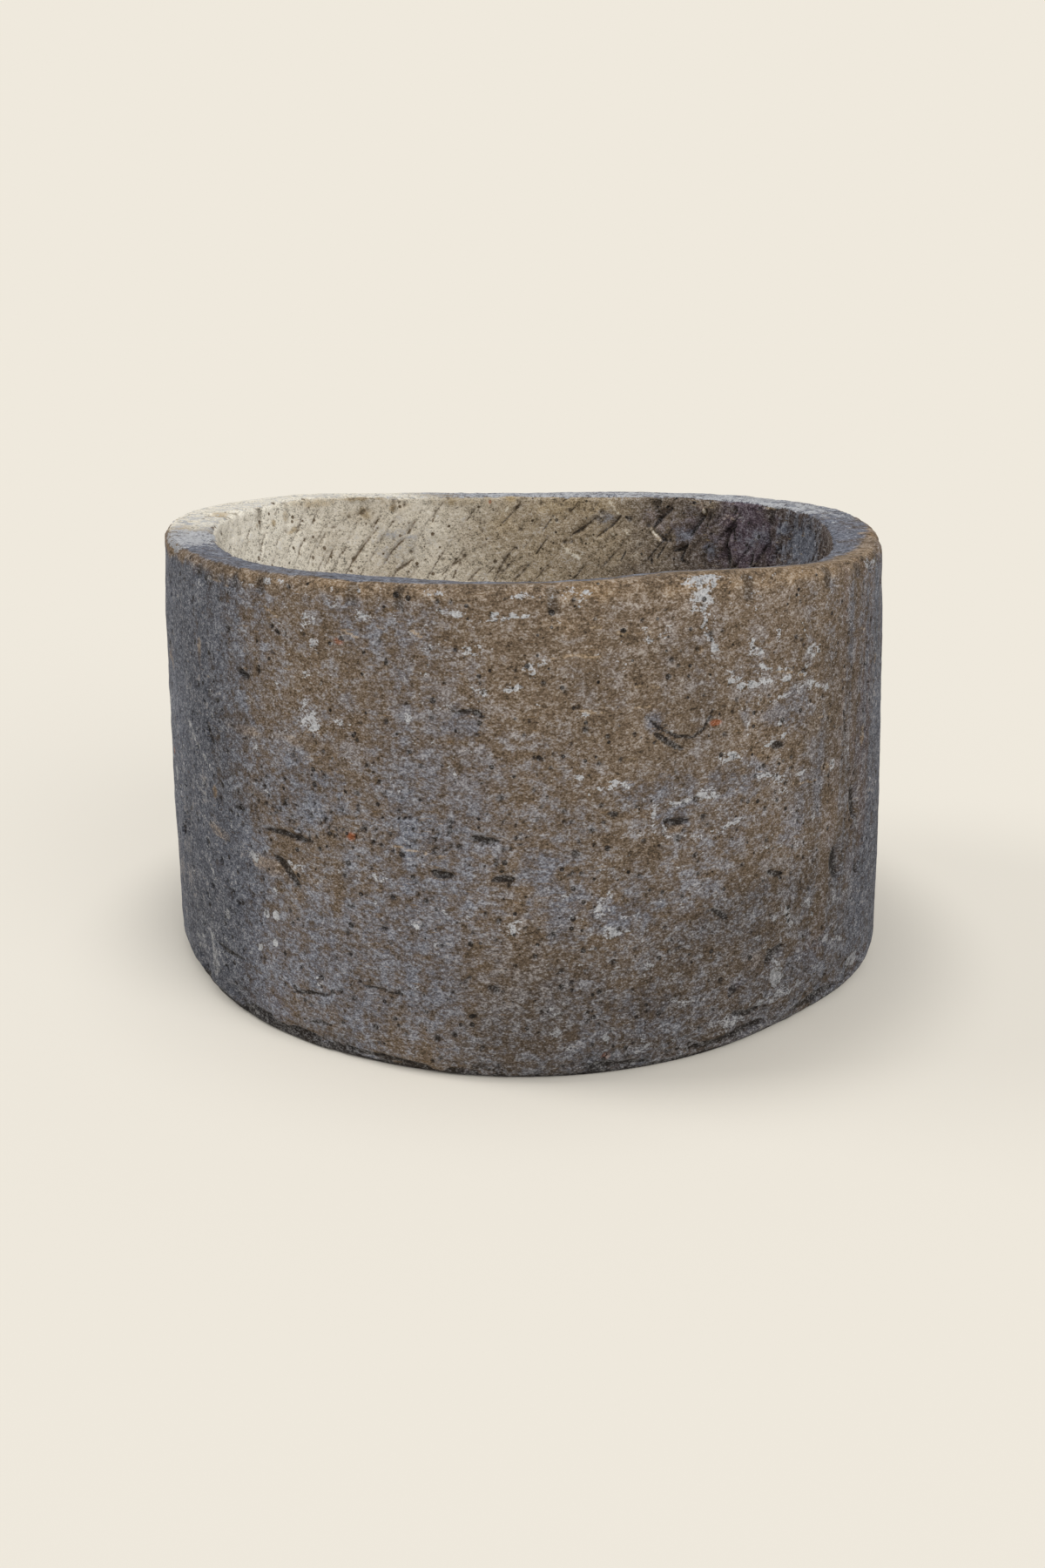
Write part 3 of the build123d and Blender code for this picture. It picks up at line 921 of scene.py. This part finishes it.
def limestone():
    """Tones of grained stone, laid over each other where the vertices are stained."""
    s = Shader("weathered_limestone")
    coords = s.tree.nodes.new("ShaderNodeTexCoord").outputs["Object"]
    flat = s.node("ShaderNodeMapping", Vector=coords, Scale=(1, 1, 1.5)).outputs["Vector"]
    combed = s.node("ShaderNodeMapping", Vector=coords, Scale=(1, 1, 9)).outputs["Vector"]
    flecks = s.noise(flat, 1.6, 2.0, 0.7)
    grit = s.noise(flat, 4.2, 3.0, 0.65)
    clouds = s.noise(flat, 15, 4.0, 0.6)
    crust = s.noise(flat, 6.5, 4.0, 0.72)
    hairs = s.noise(combed, 11, 2.0, 0.5)
    tone = s.blend_values((flecks, 0.46), (grit, 0.34), (clouds, 0.20))
    mottle = s.blend_values((flecks, 0.12), (grit, 0.43), (clouds, 0.45))
    broken = s.blend_values((crust, 0.75), (flecks, 0.25))

    earth = s.tones(tone, (115, 98, 80))
    skin = s.tones(tone, (98, 102, 114))
    chalk = s.tones(tone, (175, 176, 179), 0.8)
    iron = s.tones(tone, (150, 84, 48))
    wine = s.tones(tone, (94, 80, 92))
    painted_shade_and_grime = s.tones(tone, (34, 30, 28))
    cream_and_painted_light = s.tones(tone, (247, 239, 221))
    buff = s.tones(tone, (166, 148, 121), 1.25)
    shade = s.tones(tone, (80, 69, 65), 1.2)
    soil = s.tones(tone, (98, 78, 52))
    scratch = s.tones(tone, (184, 160, 130))

    pale = s.attribute("pale")
    inside = s.attribute("inside")
    scratched = s.math("MULTIPLY", pale, s.math("SUBTRACT", 1.0, inside))
    # Inside: painted shade where the paleness is low, and pale stone with painted light where it is
    # high
    within = s.mix(s.window(pale, 0.1, 0.5), shade, buff)
    within = s.mix(s.window(pale, 0.45, 0.95), within, cream_and_painted_light)
    gold = s.mix(inside, s.tones(tone, (146, 120, 88)), s.tones(tone, (176, 151, 108)))
    ground = s.mix(inside, earth, within)
    colour = s.mix(s.speckled(s.attribute("plum"), mottle, 1.8, 0.2, 0.95, 0.75), ground, wine)
    colour = s.mix(s.speckled(s.attribute("patina"), mottle, 2.8, 0.1, 0.9), colour, skin)
    colour = s.mix(s.speckled(s.attribute("ochre"), mottle, 2.2, 0.2, 0.9, 0.75), colour, gold)
    colour = s.mix(s.window(hairs, 0.64, 0.76, 0.5), colour, gold)
    colour = s.mix(s.speckled(s.attribute("lime"), broken, 3.4, 0.62, 0.82, 0.95), colour, chalk)
    colour = s.mix(s.window(s.attribute("rust"), 0.2, 0.7, 0.85), colour, iron)
    colour = s.mix(s.window(scratched, 0.2, 0.8, 0.6), colour, scratch)
    # Darkening that is painted shade on the outer sides and low on the foot, with dark stains and
    # blotches
    colour = s.mix(s.window(s.attribute("painted_shade_and_stain"), 0, 1, 0.5), colour, painted_shade_and_grime)
    # The hollow stain darkens grooves, pits and chips with dirt, and the underside of the foot with
    # painted shade
    dirt = s.mix(s.window(pale, 0.3, 0.8), painted_shade_and_grime, soil)
    colour = s.mix(s.window(s.attribute("hollow"), 0.1, 0.9, 0.88), colour, dirt)

    cells = s.node("ShaderNodeTexVoronoi", Vector=coords, Scale=1000 / DOT_PITCH_MM)
    size = s.node("ShaderNodeSeparateColor", Color=cells.outputs["Color"]).outputs["Red"]
    size = s.math("MULTIPLY", s.math("POWER", size, 3.0), 0.29)
    dots = s.window(s.math("SUBTRACT", cells.outputs["Distance"], size), 0.015, -0.015, 0.9)
    colour = s.mix(dots, colour, dirt)

    relief = s.blend_values((flecks, 0.4), (grit, 0.6), (dots, -0.3))
    bump = s.node("ShaderNodeBump", Height=relief, Strength=0.8, Distance=1.6 * MM)
    shader = s.node("ShaderNodeBsdfPrincipled", Normal=bump.outputs["Normal"])
    shader.inputs["Roughness"].default_value = 0.92
    shader.inputs["Specular IOR Level"].default_value = 0.18
    s.link(colour, shader.inputs["Base Color"])
    out = s.tree.nodes.new("ShaderNodeOutputMaterial")
    s.link(shader.outputs["BSDF"], out.inputs["Surface"])
    return s.material


stone.data.materials.clear()
stone.data.materials.append(limestone())
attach(stone, "root")
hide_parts("stone_planter")

# Stage: a pale floor and world that carry the backdrop's colour for the camera only

FLOOR_HALF = 60
# The floor keeps its whole shadow within the near reach and this share of it past the far one
FAR_SHADOW = 0.35
NEAR_REACH = 0.30
FAR_REACH = 0.41
WORLD_STRENGTH = 0.45
# Soft suns: degrees round from the front, degrees up, strength and disc in degrees
SUNS = {"right_window": (36, 35, 1.67, 45), "left_window": (-97, 40, 1.20, 25)}


def seen_directly(tree):
    """1 for rays that show the backdrop itself: from the camera, a gloss or a glass."""
    path = tree.nodes.new("ShaderNodeLightPath")
    total = path.outputs["Is Camera Ray"]
    for name in ("Is Glossy Ray", "Is Transmission Ray"):
        add = tree.nodes.new("ShaderNodeMath")
        add.operation = "MAXIMUM"
        tree.links.new(total, add.inputs[0])
        tree.links.new(path.outputs[name], add.inputs[1])
        total = add.outputs[0]
    return total


def floor_material():
    """Matt, and plain backdrop to the camera away from the stone."""
    s = Shader("pale_floor")
    matt = s.node("ShaderNodeBsdfDiffuse", Color=linear(BACKDROP))
    plain = s.node("ShaderNodeEmission", Color=linear(BACKDROP), Strength=1.0)
    coords = s.tree.nodes.new("ShaderNodeTexCoord").outputs["Object"]
    length = s.tree.nodes.new("ShaderNodeVectorMath")
    length.operation = "LENGTH"
    s.link(coords, length.inputs[0])
    plain_share = s.window(length.outputs["Value"], NEAR_REACH, FAR_REACH, 1 - FAR_SHADOW)
    share = s.math("MULTIPLY", seen_directly(s.tree), plain_share)
    both = s.node("ShaderNodeMixShader", Fac=share)
    s.link(matt.outputs[0], both.inputs[1])
    s.link(plain.outputs[0], both.inputs[2])
    out = s.tree.nodes.new("ShaderNodeOutputMaterial")
    s.link(both.outputs[0], out.inputs["Surface"])
    return s.material


def set_world():
    """White light from all round, and the backdrop for what is seen directly."""
    world = bpy.data.worlds.new("studio")
    bpy.context.scene.world = world
    world.use_nodes = True
    tree = world.node_tree
    tree.nodes.clear()
    lit = tree.nodes.new("ShaderNodeBackground")
    lit.inputs["Color"].default_value = (1, 1, 1, 1)
    lit.inputs["Strength"].default_value = WORLD_STRENGTH
    shown = tree.nodes.new("ShaderNodeBackground")
    shown.inputs["Color"].default_value = linear(BACKDROP)
    shown.inputs["Strength"].default_value = 1.0
    both = tree.nodes.new("ShaderNodeMixShader")
    tree.links.new(seen_directly(tree), both.inputs[0])
    tree.links.new(lit.outputs[0], both.inputs[1])
    tree.links.new(shown.outputs[0], both.inputs[2])
    out = tree.nodes.new("ShaderNodeOutputWorld")
    tree.links.new(both.outputs[0], out.inputs["Surface"])


def add_floor():
    """A wide square of floor, as stage."""
    mesh = bpy.data.meshes.new("floor")
    corners = [(x * FLOOR_HALF, y * FLOOR_HALF, 0) for x, y in ((-1, -1), (1, -1), (1, 1), (-1, 1))]
    mesh.from_pydata(corners, [], [(0, 1, 2, 3)])
    mesh.materials.append(floor_material())
    floor = bpy.data.objects.new("floor", mesh)
    bpy.context.scene.collection.objects.link(floor)


def add_sun(name, azimuth_deg, elevation_deg, strength, disc_deg):
    """One soft sun."""
    lamp = bpy.data.lights.new(name, "SUN")
    lamp.energy = strength
    lamp.angle = math.radians(disc_deg)
    sun = bpy.data.objects.new(name, lamp)
    sun.rotation_euler = (math.radians(90 - elevation_deg), 0, math.radians(azimuth_deg))
    bpy.context.scene.collection.objects.link(sun)


def add_camera():
    """The camera, in front of the stone and a little above it."""
    data = bpy.data.cameras.new("camera")
    data.sensor_width = SENSOR_MM
    data.lens = FOCAL_PX * SENSOR_MM / IMAGE_HEIGHT_PX
    data.clip_end = 200
    camera = bpy.data.objects.new("camera", data)
    camera.location = CAMERA_PLACE
    camera.rotation_euler = (math.radians(90 - CAMERA_PITCH), 0, 0)
    bpy.context.scene.collection.objects.link(camera)
    bpy.context.scene.camera = camera


add_floor()
set_world()
for name, facts in SUNS.items():
    add_sun(name, *facts)
add_camera()
bpy.context.scene.view_settings.view_transform = "Standard"
